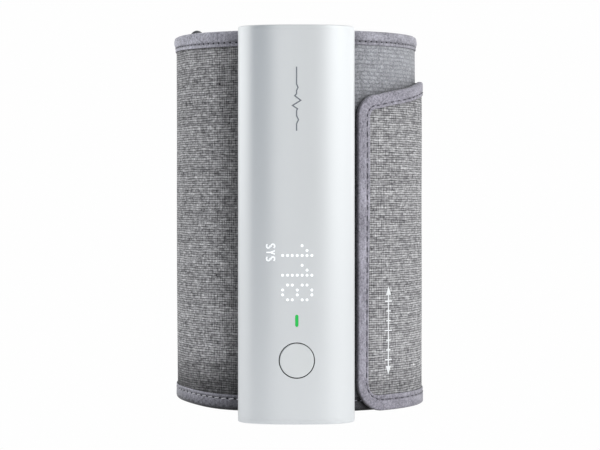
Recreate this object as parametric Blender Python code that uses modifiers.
"""Upper-arm blood pressure cuff with a tube-shaped monitor.

Frame: +Z up along the arm, -Y the front of the monitor, +X to the right seen from the front,
origin at the centre of the monitor's bottom face. The arm's axis is vertical at y = ARM_Y.
Sizes are in millimetres and are turned into metres as each piece is made. Angles round the
arm are in degrees: 0 is +X, 90 the back and 270 the monitor. They run past 360 where the
strap goes on round to the slide ring.
"""

import math

import bmesh
import bpy
from mathutils import Matrix, Vector

MM = 0.001

# ---- driving dimensions ---------------------------------------------------------------------
TUBE_H = 157.0              # overall height of the monitor tube
TUBE_HALF_W = 23.5
TUBE_HALF_D = 15.0
TUBE_EXPONENT = 2.6         # superellipse exponent of the section
WALL = 1.8                  # sleeve wall
CAP_T = 1.6                 # visible thickness of each end cap
SLOT_HALF_W = 7.5           # the sleeve's back slot
ARM_Y = 68.5

LINING_IN = 48.2            # radius of the cuff's skin side
LINING_T = 0.6
SHELL_OUT = 52.0            # outer radius of the woven shell
LOOP_OUT = 51.0             # outer radius of the loop panel
LOOP_OUT_THIN = 49.9        # the same beyond the bladder
PLY_T = 0.8                 # outer fabric ply
CUFF_LOW, CUFF_HIGH = 1.5, 157.6    # edges of the cuff
STRAP_LOW, STRAP_HIGH = 7.8, 152.2  # edges where the strap meets the ring
BIND_W = 5.0                # visible width of the edge binding
BIND_T = 0.4                # tape thickness
BIND_LIFT = 0.2             # gap between tape and outer face

RING_WIRE_R = 1.3
LEG_R = 52.0                # radius of the ring's legs from the arm axis
FREE_LEG = 143.4            # angle of the leg the strap folds round
SLEEVED_LEG = 154.2         # angle of the leg held by the sleeve
SHELL_END = 295.0           # right-hand end of the shell, just past the monitor
STRAP_END = 360.0 + FREE_LEG - 0.5
FOLD_IN = 2.1               # inner radius of the strap's fold
FOLD_T = 1.9

FLAP_IN = 51.85             # radius of the flap's inner face on the loop panel
FLAP_T = 1.9
FLAP_MID = FLAP_IN + 1.5    # radius that turns lengths along the flap into angles
REAR_HINGE, SIDE_HINGE, TIP_HINGE = 92.0, 35.0, -20.0
FLAP_END = -61.4            # free end of the flap

BUTTON_Z = 25.1
BUTTON_R = 6.75
LED_Z = 40.7
DISPLAY_Z = 59.7
PORT_X, PORT_Z = -3.5, 76.0
PORT_HOLE_R = 1.9
CELL_AT = (-9.5, 2.7)       # x, y
PUMP_X, PUMP_Y = PUMP_AT = (-9.0, 1.5)
VALVE_X, VALVE_Y = VALVE_AT = (11.5, 1.0)
SADDLE_SCREW_X = 3.5
SADDLE_SCREW_Z = (24.0, 56.0, 100.0, 132.0)
BOARD_SCREW_X = 13
BOARD_SCREW_Z = (12.6, 86.2)

SPIGOT_R, SPIGOT_BORE = 1.5, 0.8
HOSE_OUT, HOSE_IN = 2.6, 1.8        # hose radii
HOSE_Y = PUMP_Y
PUMP_OUTLET_X = PUMP_X + 5
MANIFOLD_IN_X, MANIFOLD_OUT_X = 8, 14

for old in list(bpy.data.objects):
    bpy.data.objects.remove(old, do_unlink=True)
for old in list(bpy.data.collections):
    bpy.data.collections.remove(old)

cuff = bpy.data.collections.new("blood_pressure_cuff")
bpy.context.scene.collection.children.link(cuff)


# ---- materials ------------------------------------------------------------------------------
def material(name, colour, roughness, metallic=0.0):
    made = bpy.data.materials.new(name)
    made.use_nodes = True
    inputs = made.node_tree.nodes["Principled BSDF"].inputs
    inputs["Base Color"].default_value = (*colour, 1.0)
    inputs["Roughness"].default_value = roughness
    inputs["Metallic"].default_value = metallic
    return made


SILVER = material("satin_silver", colour=(0.78, 0.80, 0.81), roughness=0.38)
WOVEN = material("heather_woven", colour=(0.30, 0.30, 0.31), roughness=0.92)
LOOP = material("loop_knit", colour=(0.40, 0.41, 0.42), roughness=0.95)
HOOK = material("hook_tape", colour=(0.09, 0.09, 0.10), roughness=0.85)
LINING = material("lining", colour=(0.12, 0.12, 0.13), roughness=0.9)
BINDING = material("binding", colour=(0.37, 0.35, 0.40), roughness=0.88)
TPU = material("bladder_tpu", colour=(0.55, 0.56, 0.54), roughness=0.45)
DARK = material("dark_plastic", colour=(0.045, 0.045, 0.05), roughness=0.5)
GREY = material("grey_plastic", colour=(0.33, 0.34, 0.35), roughness=0.55)
STEEL = material("steel", colour=(0.62, 0.63, 0.65), roughness=0.28, metallic=1.0)
BOARD = material("circuit_board", colour=(0.02, 0.16, 0.08), roughness=0.45)
CHIP = material("component_black", colour=(0.02, 0.02, 0.022), roughness=0.4)
COPPER = material("copper_wire", colour=(0.70, 0.42, 0.20), roughness=0.3, metallic=1.0)
SILICONE = material("silicone", colour=(0.72, 0.73, 0.72), roughness=0.6)
CELL = material("cell_wrap", colour=(0.05, 0.16, 0.34), roughness=0.4)
WHITE = material("white_diffuser", colour=(0.88, 0.88, 0.86), roughness=0.5)
GREEN = material("green_light_pipe", colour=(0.05, 0.72, 0.22), roughness=0.3)


# ---- placing and combining ------------------------------------------------------------------
def place(obj, name, mat):
    """Name a finished piece, give it its material and move it to the cuff collection."""
    obj.name = name
    obj.data.name = name
    obj.data.materials.clear()
    obj.data.materials.append(mat)
    for collection in list(obj.users_collection):
        collection.objects.unlink(obj)
    cuff.objects.link(obj)


def place_smooth(obj, name, mat, angle=35):
    """Place a piece with smooth shading, sharp at edges above the angle in degrees."""
    place(obj, name, mat)
    obj.data.shade_smooth()
    obj.data.set_sharp_from_angle(angle=math.radians(angle))


def add_object(data):
    obj = bpy.data.objects.new("part", data)
    bpy.context.scene.collection.objects.link(obj)
    return obj


def baked(obj):
    """The object's evaluated mesh as a new plain object; the old one is removed."""
    graph = bpy.context.evaluated_depsgraph_get()
    bpy.context.view_layer.update()
    mesh = bpy.data.meshes.new_from_object(obj.evaluated_get(graph))
    mesh.transform(obj.matrix_world)
    work = bmesh.new()
    work.from_mesh(mesh)
    bmesh.ops.remove_doubles(work, verts=work.verts, dist=1e-6)
    bmesh.ops.recalc_face_normals(work, faces=work.faces)
    work.to_mesh(mesh)
    work.free()
    made = add_object(mesh)
    bpy.data.objects.remove(obj, do_unlink=True)
    return made


def boolean(obj, others, operation):
    for other in others:
        modifier = obj.modifiers.new("boolean", "BOOLEAN")
        modifier.operation = operation
        modifier.object = other
        modifier.solver = "EXACT"
        obj = baked(obj)
        bpy.data.objects.remove(other, do_unlink=True)
    return obj


def cut(obj, *others):
    return boolean(obj, others, "DIFFERENCE")


def join(obj, *others):
    return boolean(obj, others, "UNION")


# ---- numbers and curves ---------------------------------------------------------------------
def ease(value, start, end):
    """Smooth step from 0 at start to 1 at end; start may be the larger."""
    t = min(1.0, max(0.0, (value - start) / (end - start)))
    return t * t * (3 - 2 * t)


def lerp(start, end, t):
    return start + (end - start) * t


def span(centre, half):
    return centre - half, centre + half


def tube_section(inset=0.0, count=56):
    """Superellipse points of the tube's section, moved in by inset."""
    points = []
    for i in range(count):
        angle = 2 * math.pi * i / count
        cos, sin = math.cos(angle), math.sin(angle)
        x = math.copysign(abs(cos) ** (2 / TUBE_EXPONENT), cos)
        y = math.copysign(abs(sin) ** (2 / TUBE_EXPONENT), sin)
        points.append(((TUBE_HALF_W - inset) * x, (TUBE_HALF_D - inset) * y))
    return points


def section_y(x, inset=0.0):
    """Half depth of the tube's section at x."""
    ratio = abs(x) / (TUBE_HALF_W - inset)
    return (TUBE_HALF_D - inset) * (1 - ratio**TUBE_EXPONENT) ** (1 / TUBE_EXPONENT)


def arm_xy(theta, radius):
    angle = math.radians(theta)
    return radius * math.cos(angle), ARM_Y + radius * math.sin(angle)


def on_arm(theta, radius, z):
    """Point in metres at an angle and a radius round the arm."""
    return Vector((*arm_xy(theta, radius), z)) * MM


def smooth_path(controls, steps=3):
    """Catmull-Rom points through the controls."""
    knots = [Vector(point) for point in controls]
    knots = [knots[0] * 2 - knots[1], *knots, knots[-1] * 2 - knots[-2]]
    points = []
    for before, start, end, after in zip(knots, knots[1:], knots[2:], knots[3:]):
        for i in range(steps):
            t = i / steps
            points.append(
                0.5
                * (
                    2 * start
                    + (end - before) * t
                    + (2 * before - 5 * start + 4 * end - after) * t * t
                    + (3 * start - before - 3 * end + after) * t**3
                )
            )
    return points + [knots[-2]]


# ---- basic solids ---------------------------------------------------------------------------
def add_spline(curve, points):
    """A poly spline through (x, y, z) points in mm."""
    spline = curve.splines.new("POLY")
    spline.points.add(len(points) - 1)
    for target, (x, y, z) in zip(spline.points, points):
        target.co = (x * MM, y * MM, z * MM, 1)
    return spline


def outline(points, z_span, holes=()):
    """A flat outline, with holes, extruded over z_span."""
    low, high = z_span
    curve = bpy.data.curves.new("outline", "CURVE")
    curve.dimensions = "2D"
    curve.fill_mode = "BOTH"
    curve.extrude = (high - low) / 2 * MM
    for loop in (points, *holes):
        add_spline(curve, [(x, y, 0) for x, y in loop]).use_cyclic_u = True
    obj = add_object(curve)
    obj.location = (0, 0, (low + high) / 2 * MM)
    return baked(obj)


def wire(points, radius, resolution=2, closed=False):
    """A round wire along a path, capped unless it is closed."""
    curve = bpy.data.curves.new("wire", "CURVE")
    curve.dimensions = "3D"
    curve.bevel_depth = radius * MM
    curve.bevel_resolution = resolution
    curve.use_fill_caps = not closed
    add_spline(curve, points).use_cyclic_u = closed
    return baked(add_object(curve))


def box(*spans):
    """A box from its (low, high) spans in x, y and z."""
    centre = [MM * (low + high) / 2 for low, high in spans]
    size = [MM * (high - low) for low, high in spans]
    bpy.ops.mesh.primitive_cube_add(size=1)
    made = bpy.context.object
    made.data.transform(Matrix.Translation(centre) @ Matrix.Diagonal((*size, 1)))
    return made


def rod(radius, start, end, segments=24, end_radius=None):
    """A closed cylinder, or a cone with end_radius, from start to end."""
    start, end = Vector(start) * MM, Vector(end) * MM
    mesh = bpy.data.meshes.new("rod")
    work = bmesh.new()
    bmesh.ops.create_cone(
        work,
        cap_ends=True,
        cap_tris=False,
        segments=segments,
        radius1=radius * MM,
        radius2=(radius if end_radius is None else end_radius) * MM,
        depth=(end - start).length,
    )
    work.to_mesh(mesh)
    work.free()
    turn = (end - start).to_track_quat("Z", "Y").to_matrix().to_4x4()
    mesh.transform(Matrix.Translation((start + end) / 2) @ turn)
    return add_object(mesh)


def rod_z(radius, at, z_span, segments=24, end_radius=None):
    """An upright rod at (x, y)."""
    return rod(radius, (*at, z_span[0]), (*at, z_span[1]), segments, end_radius)


def rod_y(radius, at, y_span, segments=24):
    """A front-to-back rod at (x, z)."""
    x, z = at
    return rod(radius, (x, y_span[0], z), (x, y_span[1], z), segments)


def pill(half_width, half_height, y_span, z_centre):
    """A tall shape with rounded ends in the XZ plane, extruded over y_span."""
    front, back = y_span
    points = []
    for i in range(16):
        angle = math.pi * i / 8 + math.pi / 16
        end = math.copysign(half_height - half_width, math.sin(angle))
        points.append((half_width * math.cos(angle), half_width * math.sin(angle) + end))
    made = outline(points, (0.0, back - front))
    made.data.transform(
        Matrix.Translation((0, MM * back, MM * z_centre)) @ Matrix.Rotation(math.pi / 2, 4, "X")
    )
    return made


def sheet(columns, rows, where, thickness):
    """A grid mapped by where(u, v) in 0..1, thickened equally to both sides."""
    bpy.ops.mesh.primitive_grid_add(x_subdivisions=columns, y_subdivisions=rows, size=2)
    made = bpy.context.object
    for vertex in made.data.vertices:
        vertex.co = where((vertex.co.x + 1) / 2, (vertex.co.y + 1) / 2)
    modifier = made.modifiers.new("thickness", "SOLIDIFY")
    modifier.thickness = thickness * MM
    modifier.offset = 0.0
    modifier.use_even_offset = True
    return baked(made)


def screw(name, at, y_head, head_radius, length):
    """A pan-head screw pointing backwards, its head's outer face at y_head."""
    head_t = 1.2
    made = join(
        rod_y(head_radius, at, (y_head, y_head + head_t), 16),
        rod_y(1.0, at, (y_head + head_t - 0.2, y_head + length), 12),
    )
    place_smooth(made, name, STEEL)


def hose(name, points):
    """A hollow hose along a path; the bore's cutter runs past both ends."""
    path = [Vector(point) for point in points]
    outside = wire(path, HOSE_OUT)
    path[0] += (path[0] - path[1]).normalized()
    path[-1] += (path[-1] - path[-2]).normalized()
    place_smooth(cut(outside, wire(path, HOSE_IN)), name, SILICONE, 60)


def port_cutter():
    return rod_y(PORT_HOLE_R, (PORT_X, PORT_Z), (5, 30), 16)


def saddle_screw_cutters(radius=1.3, y_span=(5, 30), segments=12):
    return [rod_y(radius, (SADDLE_SCREW_X, z), y_span, segments) for z in SADDLE_SCREW_Z]


def board_screw_cutters(radius, y_back):
    return [rod_y(radius, (BOARD_SCREW_X, z), (-9, y_back), 12) for z in BOARD_SCREW_Z]


# ---- monitor tube ---------------------------------------------------------------------------
CAP_GAP = 0.2               # between sleeve and cap
FRONT_CUT = (-20, -8)       # y span of the cutters through the front wall

sleeve = outline(
    tube_section(),
    (CAP_T + CAP_GAP, TUBE_H - CAP_T - CAP_GAP),
    [tube_section(WALL)],
)
sleeve = cut(
    sleeve,
    box(span(0, SLOT_HALF_W), (8, 20), (-5, TUBE_H + 5)),
    rod_y(BUTTON_R + 0.25, (0, BUTTON_Z), FRONT_CUT, 32),
    pill(0.85, 2.6, FRONT_CUT, LED_Z),
    box(span(0, 9), (-14.0, -8), span(DISPLAY_Z, 16)),
)
place_smooth(sleeve, "tube_sleeve", SILVER, 30)


# ---- end caps and charging socket -----------------------------------------------------------
PLUG_DEPTH = 8.0            # from the outer face to the plug's far end
PLUG_OVERLAP = 0.4          # of the plug into the cap's disc
SOCKET_Y = -5.0
SOCKET_HALF_W, SOCKET_HALF_D, SOCKET_WALL = 3.9, 1.4, 0.5


def bevel_rim(cap, z_face):
    """Round the edge of the cap's outer face."""
    work = bmesh.new()
    work.from_mesh(cap.data)
    rim = [
        edge
        for edge in work.edges
        if all(abs(vertex.co.z - z_face * MM) < 1e-6 for vertex in edge.verts)
        and edge.calc_face_angle() > 0.8
    ]
    bmesh.ops.bevel(
        work,
        geom=rim,
        offset=0.7 * MM,
        offset_type="OFFSET",
        segments=2,
        profile=0.5,
        affect="EDGES",
    )
    work.to_mesh(cap.data)
    work.free()


def end_cap(z_face, inward):
    """A disc with a plug ring; inward is the z direction into the tube."""
    z_seat = z_face + inward * CAP_T
    z_plug = z_face + inward * PLUG_DEPTH
    cap = outline(tube_section(), sorted((z_face, z_seat)))
    bevel_rim(cap, z_face)
    plug = outline(
        tube_section(WALL + 0.3, 40),
        sorted((z_seat - inward * PLUG_OVERLAP, z_plug)),
        [tube_section(WALL + 1.8, 40)],
    )
    # the plug is open at the back, where the saddle's neck passes
    opening = box(span(0, SLOT_HALF_W + 0.5), (4, 20), sorted((z_seat, z_plug + inward)))
    return join(cap, cut(plug, opening))


place_smooth(end_cap(TUBE_H, -1), "top_cap", SILVER, 30)
socket_slot = box(span(0, SOCKET_HALF_W + 0.4), span(SOCKET_Y, SOCKET_HALF_D + 0.5), (-2, 3))
place_smooth(cut(end_cap(0.0, 1), socket_slot), "bottom_cap", SILVER, 30)

socket = cut(
    box(span(0, SOCKET_HALF_W), span(SOCKET_Y, SOCKET_HALF_D), (0.9, 7.2)),
    box(
        span(0, SOCKET_HALF_W - SOCKET_WALL),
        span(SOCKET_Y, SOCKET_HALF_D - SOCKET_WALL),
        (0.0, 6.2),
    ),
)
place(socket, "charging_socket", STEEL)

# ---- start button, its switch and return pad ------------------------------------------------
BUTTON_AT = (0, BUTTON_Z)
FACE_Y = -section_y(0) + 0.1    # outer face of the button
PARTS_BACK = -8.2               # back of the parts in front of the board

button = join(
    rod_y(BUTTON_R, BUTTON_AT, (FACE_Y, -12.2), 32),
    rod_y(8.1, BUTTON_AT, (-12.4, -11.5), 32),
    rod_y(2.0, BUTTON_AT, (-11.8, -11.1), 16),
)
place_smooth(button, "start_button", SILVER)
place_smooth(rod_y(1.6, BUTTON_AT, (-10.8, -10.1), 16), "switch_plunger", CHIP)
place(box(span(0, 3), (-9.3, PARTS_BACK), span(BUTTON_Z, 3)), "tact_switch", STEEL)
pad = cut(rod_y(7.2, BUTTON_AT, (-10.5, PARTS_BACK)), rod_y(5.2, BUTTON_AT, (-12, -7)))
place_smooth(pad, "button_return_pad", SILICONE)

# ---- display stack and status light ---------------------------------------------------------
diffuser = box(span(0, 8.7), (-13.7, -11.1), span(DISPLAY_Z, 15.6))
place(diffuser, "display_diffuser", WHITE)
place(box(span(0, 8.0), (-10.8, PARTS_BACK), span(DISPLAY_Z, 14)), "led_matrix", CHIP)
light_pipe = join(
    pill(0.6, 2.35, (FACE_Y - 0.02, -12.0), LED_Z),
    box(span(0, 2.0), (-12.8, -11.6), span(LED_Z, 2.2)),
    box(span(0, 0.6), (-12.0, PARTS_BACK), span(LED_Z, 0.8)),
)
place(light_pipe, "status_light_pipe", GREEN)

# ---- circuit board --------------------------------------------------------------------------
board = box(span(0, 17), (-7.9, -6.7), (10.0, 89.5))
place(cut(board, *board_screw_cutters(1.3, -5)), "main_board", BOARD)
place(box((3, 17), (-6.4, -4.4), (42, 60)), "radio_shield", STEEL)
for label, z in zip(("lower", "upper"), BOARD_SCREW_Z):
    screw(f"board_screw_{label}", (BOARD_SCREW_X, z), -9.4, head_radius=1.9, length=8.0)

# ---- chassis: spine plate with bulkheads ----------------------------------------------------
BULKHEADS = (               # z spans
    (9.0, 14.2), (30.0, 31.6), (50.0, 51.6), (68.0, 69.8),
    (83.5, 88.0), (104.2, 106.0), (126.0, 127.8),
)
PUMP_BAY = (95, 150)        # z span of the room for pump, valve and manifold


def bulkhead(z_span):
    """A slice of the tube's inside, flat at the front and back."""
    low, high = z_span
    plate = outline(tube_section(WALL + 0.4, 40), z_span)
    return cut(
        plate,
        box((-30, 30), (-20, -6.3), (low - 1, high + 1)),
        box((-30, 30), (12.28, 20), (low - 1, high + 1)),
    )


chassis = join(
    box(span(0, 10), (11.1, 12.3), (9.2, 148.0)),
    *[bulkhead(z_span) for z_span in BULKHEADS],
)
chassis = cut(
    chassis,
    rod_z(8.4, CELL_AT, (14.6, 67.0), 28),
    rod_z(9.5, PUMP_AT, PUMP_BAY, 28),
    box((4.7, 18.3), (-8, 6.8), PUMP_BAY),      # valve and manifold
    box((-5, 6), (-8, 4.5), PUMP_BAY),          # between pump and valve
    box((2.4, 30), (-8, 5.0), (40, 62)),        # radio shield
    *board_screw_cutters(1.2, 2),
    rod_z(3.2, (MANIFOLD_OUT_X, HOSE_Y), (80, 92), 16),
    port_cutter(),
    box(span(0, 8.7), (-8, -2.5), (5, 9.31)),   # shallow recess above the socket
    *saddle_screw_cutters(),
)
place(chassis, "chassis", DARK)

# rechargeable cell
cell = join(rod_z(8.0, CELL_AT, (14.9, 63.5), 28), rod_z(2.6, CELL_AT, (63.0, 65.0), 16))
place_smooth(cell, "battery_cell", CELL)

# ---- pump -----------------------------------------------------------------------------------
PUMP_R = 9.2
OUTLET_AT = (PUMP_OUTLET_X, PUMP_Y)

motor = join(
    rod_z(PUMP_R, PUMP_AT, (117.6, 143.0), 28),
    rod_z(2.6, PUMP_AT, (142.5, 145.0), 16),
)
motor = cut(motor, rod_z(1.35, PUMP_AT, (110, 122.0), 12))
place_smooth(motor, "pump_motor", STEEL)

pump_head = join(
    rod_z(PUMP_R, PUMP_AT, (100.0, 117.3), 28),
    rod_z(SPIGOT_R, OUTLET_AT, (97.2, 101.0), 12),
)
pump_head = cut(
    pump_head,
    rod_z(7.2, PUMP_AT, (102.5, 120), 28),
    rod_z(SPIGOT_BORE, OUTLET_AT, (95, 104), 10),
)
place_smooth(pump_head, "pump_head", DARK)

# a disc with three tapered domes
diaphragms = rod_z(6.8, PUMP_AT, (102.8, 105.0))
for k in range(3):
    angle = math.radians(90 + 120 * k)
    dome_at = (PUMP_X + 3.7 * math.cos(angle), PUMP_Y + 3.7 * math.sin(angle))
    diaphragms = join(diaphragms, rod_z(2.5, dome_at, (104.5, 107.2), 14, end_radius=1.9))
place_smooth(diaphragms, "pump_diaphragms", SILICONE)

# shaft, disc and slanted pin
crank = join(
    rod_z(1.0, PUMP_AT, (113.0, 120.5), 12),
    rod_z(4.8, PUMP_AT, (111.2, 114.2)),
    rod(0.8, (PUMP_X + 2.2, PUMP_Y, 111.5), (PUMP_X + 0.9, PUMP_Y, 107.9), 10),
)
place_smooth(crank, "pump_crank", COPPER)

# ---- release valve --------------------------------------------------------------------------
valve = box(span(VALVE_X, 5.5), span(VALVE_Y, 5.5), (118.0, 134.0))
place(cut(valve, rod_z(2.2, VALVE_AT, (110, 129.0), 16)), "release_valve", STEEL)
armature = join(
    rod_z(1.9, VALVE_AT, (112.0, 127.0), 16),
    rod_z(3.3, VALVE_AT, (111.3, 112.2), 16),
)
place_smooth(armature, "valve_armature", STEEL)

SPRING_R, SPRING_Z, SPRING_H = 2.65, 112.7, 4.7
SPRING_TURNS, TURN_STEPS = 3, 14
coil = []
for i in range(SPRING_TURNS * TURN_STEPS + 1):
    angle = 2 * math.pi * i / TURN_STEPS
    coil.append(
        (
            VALVE_X + SPRING_R * math.cos(angle),
            VALVE_Y + SPRING_R * math.sin(angle),
            SPRING_Z + SPRING_H * i / (SPRING_TURNS * TURN_STEPS),
        )
    )
place_smooth(wire(coil, 0.2, resolution=0), "valve_spring", STEEL)

# ---- air manifold, pressure sensor and hoses ------------------------------------------------
MANIFOLD_Z = 106.5
MANIFOLD_PORTS = [(x, HOSE_Y) for x in (MANIFOLD_IN_X, MANIFOLD_OUT_X)]

manifold = join(
    box(span(VALVE_X, 6.5), (-3.0, 6.0), span(MANIFOLD_Z, 4.5)),
    *[rod_z(SPIGOT_R, at, (99.0, 103.0), 12) for at in MANIFOLD_PORTS],
)
manifold = cut(
    manifold,
    *[rod_z(SPIGOT_BORE, at, (98, 106), 10) for at in MANIFOLD_PORTS],
    rod_z(0.9, VALVE_AT, (MANIFOLD_Z, 113), 10),
)
place_smooth(manifold, "air_manifold", GREY)
sensor = join(
    box(span(VALVE_X, 4), (-6.9, -4.0), span(MANIFOLD_Z, 4)),
    rod_y(2.4, (VALVE_X, MANIFOLD_Z), (-4.2, -3.3), 16),
)
place_smooth(sensor, "pressure_sensor", CHIP)

HOSE_TOP = 101.5
BEND_X = (PUMP_OUTLET_X + MANIFOLD_IN_X) / 2
BEND_R = (MANIFOLD_IN_X - PUMP_OUTLET_X) / 2
u_bend = []
for i in range(11):
    angle = math.pi * i / 10
    u_bend.append((BEND_X - BEND_R * math.cos(angle), HOSE_Y, 97.0 - BEND_R * math.sin(angle)))
hose(
    "pump_hose",
    [(PUMP_OUTLET_X, HOSE_Y, 99.4), *u_bend, (MANIFOLD_IN_X, HOSE_Y, HOSE_TOP)],
)

CUFF_HOSE_BENDS = (         # x, y, z from the manifold down to the cuff's port
    (MANIFOLD_OUT_X, HOSE_Y, 84.5), (12.6, 1.2, 79.2), (8, 0.4, 76.6),
    (1.5, 0.6, 76.0), (-2.6, 3.4, 76.0), (PORT_X, 7.6, PORT_Z),
)
hose(
    "cuff_hose",
    [
        (MANIFOLD_OUT_X, HOSE_Y, HOSE_TOP),
        (MANIFOLD_OUT_X, HOSE_Y, 90),
        *smooth_path(CUFF_HOSE_BENDS),
        (PORT_X, 10.7, PORT_Z),
    ],
)

# ---- saddle between tube and cuff -----------------------------------------------------------
FIT_GAP = 0.3               # to the tube and to the shell
SADDLE_HALF_W = 17.0
NECK_HALF_W = SLOT_HALF_W - 0.4
NECK_Y = 12.6

cuff_side = []
for i in range(13):
    x = -SADDLE_HALF_W + 2 * SADDLE_HALF_W * i / 12
    cuff_side.append((x, ARM_Y - math.sqrt((SHELL_OUT + FIT_GAP) ** 2 - x * x)))
right_shoulder = []
for i in range(7):
    x = SADDLE_HALF_W - (SADDLE_HALF_W - NECK_HALF_W) * i / 6
    right_shoulder.append((x, section_y(x, -FIT_GAP)))
saddle_points = [
    *cuff_side,
    *right_shoulder,
    (NECK_HALF_W, NECK_Y),
    (-NECK_HALF_W, NECK_Y),
    *[(-x, y) for x, y in reversed(right_shoulder)],
]
saddle = cut(outline(saddle_points, (9.5, 147.5)), port_cutter(), *saddle_screw_cutters())
place(saddle, "saddle", DARK)
for k, z in enumerate(SADDLE_SCREW_Z, 1):
    screw(f"saddle_screw_{k}", (SADDLE_SCREW_X, z), 9.6, head_radius=2.2, length=7.6)


# ---- cuff: plies that go round the arm ------------------------------------------------------
def cuff_edges(theta):
    """Bottom and top edge of the cuff; it narrows towards the slide ring at both ends."""
    narrowing = max(ease(theta, 446, 496), 0.5 * ease(theta, 172, SLEEVED_LEG + 5))
    low = CUFF_LOW + 1.4 * ease(theta, 236, 196)
    return lerp(low, STRAP_LOW, narrowing), lerp(CUFF_HIGH, STRAP_HIGH, narrowing)


def loop_face(theta):
    """Outer radius of the loop panel; the strap is thinner beyond the bladder."""
    return lerp(LOOP_OUT, LOOP_OUT_THIN, ease(theta, 382, 412))


def arc_steps(start, end, step):
    return max(1, round(abs(end - start) / step))


def stations(start, end, step, *extra):
    """Evenly spaced angles, with the extra ones in place of their near neighbours."""
    count = arc_steps(start, end, step)
    even = [lerp(start, end, i / count) for i in range(count + 1)]
    keep = [theta for theta in even if all(abs(theta - other) > step * 0.3 for other in extra)]
    return sorted({start, end, *keep, *extra})


def ply(start, end, mid_radius, inset, thickness, step=6.0):
    """A ply between two angles; mid_radius(theta) is the middle of its thickness."""
    angles = stations(start, end, step)

    def where(u, v):
        theta = angles[round(u * (len(angles) - 1))]
        low, high = cuff_edges(theta)
        return on_arm(theta, mid_radius(theta), lerp(low + inset, high - inset, v))

    return sheet(len(angles) - 1, 1, where, thickness)


EDGE_INSET = 0.8            # outer plies inside the binding

lining = ply(SLEEVED_LEG + 5.2, STRAP_END, lambda _: LINING_IN + LINING_T / 2, 5.6, LINING_T)
place_smooth(lining, "cuff_lining", LINING, 40)

shell = ply(SLEEVED_LEG + 3.8, SHELL_END, lambda _: SHELL_OUT - PLY_T / 2, EDGE_INSET, PLY_T)
shell = cut(shell, port_cutter(), *saddle_screw_cutters(2.9, segments=16))
place_smooth(shell, "shell_fabric", WOVEN, 40)

loop = ply(288.5, STRAP_END, lambda theta: loop_face(theta) - PLY_T / 2, EDGE_INSET, PLY_T)
place_smooth(loop, "loop_panel", LOOP, 40)

# stiffener plate inside the cuff, with blind screw bosses
stiffener = ply(250, 287, lambda _: 50.55, 14.0, 0.7, step=4.0)
stiffener = join(stiffener, *saddle_screw_cutters(2.5, (16.6, 18.1), 16))
stiffener = cut(stiffener, port_cutter(), *saddle_screw_cutters(y_span=(10, 17.8)))
place_smooth(stiffener, "stiffener_plate", GREY, 40)

# air bladder with its port
bladder = ply(186, 378, lambda _: 49.5, 12.0, 0.8)
bladder = join(bladder, rod_y(SPIGOT_R, (PORT_X, PORT_Z), (8.0, 19.1), 12))
bladder = cut(bladder, rod_y(SPIGOT_BORE, (PORT_X, PORT_Z), (5.0, 18.9), 10))
place_smooth(bladder, "air_bladder", TPU, 40)

# distance in from the edge at the four corners of the U-shaped tape, inner face first
TAPE_DEPTHS = (BIND_W, BIND_T / 2, BIND_T / 2, BIND_W)
STEP_START, STEP_END = SHELL_END + 0.2, SHELL_END + 3.2  # tape steps from shell to loop panel


def cuff_binding(top):
    """U-shaped tape over the cuff's edge, from the ring sleeve round to the strap's fold."""
    angles = stations(SLEEVED_LEG + 4.4, STRAP_END - 1.8, 6.0, STEP_START, STEP_END)

    def where(u, v):
        theta = angles[round(u * (len(angles) - 1))]
        low, high = cuff_edges(theta)
        face = lerp(SHELL_OUT, loop_face(theta), ease(theta, STEP_START, STEP_END))
        corner = round(v * 3)
        radius = LINING_IN + BIND_T / 2 if corner < 2 else face + BIND_LIFT + BIND_T / 2
        depth = TAPE_DEPTHS[corner]
        return on_arm(theta, radius, high - depth if top else low + depth)

    return sheet(len(angles) - 1, 3, where, BIND_T)


place_smooth(cuff_binding(top=True), "binding_top", BINDING, 60)
place_smooth(cuff_binding(top=False), "binding_bottom", BINDING, 60)

# ---- slide ring, its sleeve and the strap's fold --------------------------------------------
RING_LOW, RING_HIGH = 0.6 + RING_WIRE_R, 163.4 - RING_WIRE_R    # wire's centre line

sleeved_leg = Vector(arm_xy(SLEEVED_LEG, LEG_R))
free_leg = Vector(arm_xy(FREE_LEG, LEG_R))
ring_middle = (sleeved_leg + free_leg) / 2
ring_half = (free_leg - sleeved_leg) / 2
end_r = ring_half.length
ring_path = []
for first_angle, z_centre in ((0.0, RING_HIGH - end_r), (math.pi, RING_LOW + end_r)):
    for i in range(9):
        angle = first_angle + math.pi * i / 8
        x, y = ring_middle + ring_half * math.cos(angle)
        ring_path.append((x, y, z_centre + math.sin(angle) * end_r))
place_smooth(wire(ring_path, RING_WIRE_R, closed=True), "slide_ring", STEEL, 60)

ring_sleeve = cut(
    rod_z(2.75, sleeved_leg, (9.5, 150.5), 20),
    rod_z(1.85, sleeved_leg, (7.5, 152.5), 20),
)
place_smooth(ring_sleeve, "ring_sleeve", WOVEN)


def fold_arc(radius):
    """Arc round the free leg, starting 120 and ending 2 degrees past the outward direction."""
    start, end = math.radians(FREE_LEG + 120), math.radians(FREE_LEG + 2)
    angles = [lerp(start, end, i / 12) for i in range(13)]
    return [
        (free_leg.x + radius * math.cos(angle), free_leg.y + radius * math.sin(angle))
        for angle in angles
    ]


fold = outline([*fold_arc(FOLD_IN + FOLD_T), *reversed(fold_arc(FOLD_IN))], (8.0, 152.0))
place_smooth(fold, "flap_fold", WOVEN)

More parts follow.
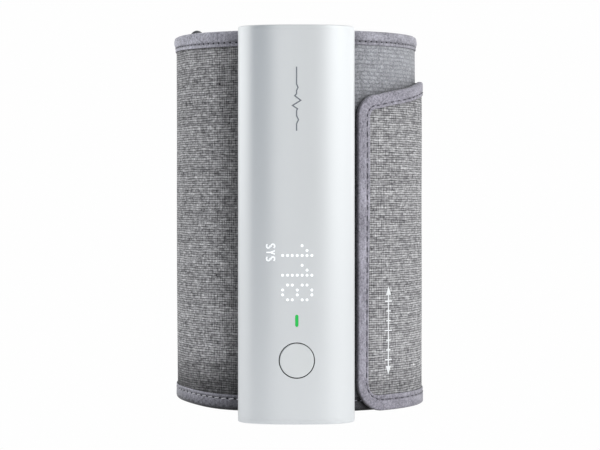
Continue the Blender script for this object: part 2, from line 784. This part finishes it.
# ---- folded-back flap, in four hinged lengths -----------------------------------------------
TIP_R_TOP, TIP_R_BOTTOM = 9.5, 12.0     # corner radii at the free end
TOP_BEND, TOP_BEND_Z = -8, 138.46       # where the straight top edge starts to curve up
HINGE_GAP = 0.17                        # degrees each side of a hinge line
LENGTHS = (                             # label, start angle, end angle
    ("rear", FREE_LEG - 0.4, REAR_HINGE + HINGE_GAP),
    ("side", REAR_HINGE - HINGE_GAP, SIDE_HINGE + HINGE_GAP),
    ("front", SIDE_HINGE - HINGE_GAP, TIP_HINGE + HINGE_GAP),
    ("tip", TIP_HINGE - HINGE_GAP, FLAP_END),
)


def flap_in(theta):
    """Radius of the flap's inner face: high over the fold, then flat on the loop panel."""
    return lerp(FLAP_IN, LEG_R + FOLD_IN, ease(theta, 107, FREE_LEG - 5))


def flap_edges(theta):
    """Bottom and top edge of the flap, before its tip is rounded."""
    low = lerp(CUFF_LOW - 0.3, STRAP_LOW, ease(theta, 76, 136))
    past = theta - TOP_BEND
    if past > 0:
        rise = (STRAP_HIGH - TOP_BEND_Z) * (past / (FREE_LEG - TOP_BEND)) ** 1.6
    else:
        rise = 0.155 * past
    return low, TOP_BEND_Z + rise


def corner_drop(radius, distance):
    """How far a rounded corner falls from the edge at a distance from the free end."""
    if distance >= radius:
        return 0.0
    return radius - math.sqrt(max(0.0, radius * radius - (radius - distance) ** 2))


def rounded_edges(theta, inset):
    """Edges of the flap, rounded at the free end and moved in by inset."""
    low, high = flap_edges(theta)
    distance = math.radians(theta - FLAP_END) * FLAP_MID - inset
    return (
        low + inset + corner_drop(TIP_R_BOTTOM - inset, distance),
        high - inset - corner_drop(TIP_R_TOP - inset, distance),
    )


def from_end(distance):
    """Angle at a distance along the flap from its free end."""
    return FLAP_END + math.degrees(distance / FLAP_MID)


def flap_ply(start, end, height, inset, thickness):
    """One length of flap ply, its middle at height above the inner face."""
    tip = end == FLAP_END
    if tip:
        end = from_end(inset)

    def where(u, v):
        if tip:
            # columns gather at the rounded end
            u = 1 - (1 - u) ** 1.6
        theta = lerp(start, end, u)
        return on_arm(theta, flap_in(theta) + height, lerp(*rounded_edges(theta, inset), v))

    return sheet(14 if tip else arc_steps(start, end, 5.0), 1, where, thickness)


for label, start, end in LENGTHS:
    fabric = flap_ply(start, end, FLAP_T - PLY_T / 2, EDGE_INSET, PLY_T)
    place_smooth(fabric, f"flap_fabric_{label}", WOVEN, 40)
    kind, mat = ("hook", HOOK) if label in ("front", "tip") else ("backing", LINING)
    inner = flap_ply(start, end, 0.35, BIND_W + 0.4, 0.7)
    place_smooth(inner, f"flap_{kind}_{label}", mat, 40)


def flap_binding(name, path, columns):
    """U-shaped tape along path(u) -> (theta, z, inward along the flap, inward in z)."""

    def where(u, v):
        theta, z, inward_theta, inward_z = path(u)
        corner = round(v * 3)
        depth = TAPE_DEPTHS[corner]
        height = BIND_T / 2 if corner < 2 else FLAP_T + BIND_LIFT + BIND_T / 2
        theta += math.degrees(inward_theta * depth / FLAP_MID)
        return on_arm(theta, flap_in(theta) + height, z + inward_z * depth)

    place_smooth(sheet(columns, 3, where, BIND_T), name, BINDING, 60)


def edge_path(start, end, edge, inward_z):
    """Path along the flap's bottom (edge 0) or top (edge 1)."""

    def path(u):
        theta = lerp(start, end, u)
        return theta, flap_edges(theta)[edge], 0, inward_z

    return path


for label, start, end in LENGTHS[:3]:
    for side, edge, inward_z in (("top", 1, -1), ("bottom", 0, 1)):
        flap_binding(
            f"flap_binding_{side}_{label}",
            edge_path(start, end, edge, inward_z),
            arc_steps(start, end, 5.0),
        )


def tip_perimeter():
    """Binding path points along the tip's top edge, free end and bottom edge."""
    start = TIP_HINGE - HINGE_GAP
    top_corner, bottom_corner = from_end(TIP_R_TOP), from_end(TIP_R_BOTTOM)
    z_top = flap_edges(top_corner)[1]
    z_bottom = flap_edges(bottom_corner)[0]
    quarter = [math.pi / 2 * i / 6 for i in range(7)]
    points = []
    for i in range(5):
        theta = lerp(start, top_corner, i / 5)
        points.append((theta, flap_edges(theta)[1], 0.0, -1.0))
    for angle in quarter:
        cos, sin = math.cos(angle), math.sin(angle)
        theta = from_end(TIP_R_TOP * (1 - sin))
        points.append((theta, z_top - TIP_R_TOP * (1 - cos), sin, -cos))
    for angle in quarter:
        cos, sin = math.cos(angle), math.sin(angle)
        theta = from_end(TIP_R_BOTTOM * (1 - cos))
        points.append((theta, z_bottom + TIP_R_BOTTOM * (1 - sin), cos, sin))
    for i in range(1, 6):
        theta = lerp(bottom_corner, start, i / 5)
        points.append((theta, flap_edges(theta)[0], 0.0, 1.0))
    return points


perimeter = tip_perimeter()
last = len(perimeter) - 1
flap_binding("flap_binding_tip", lambda u: perimeter[round(u * last)], last)
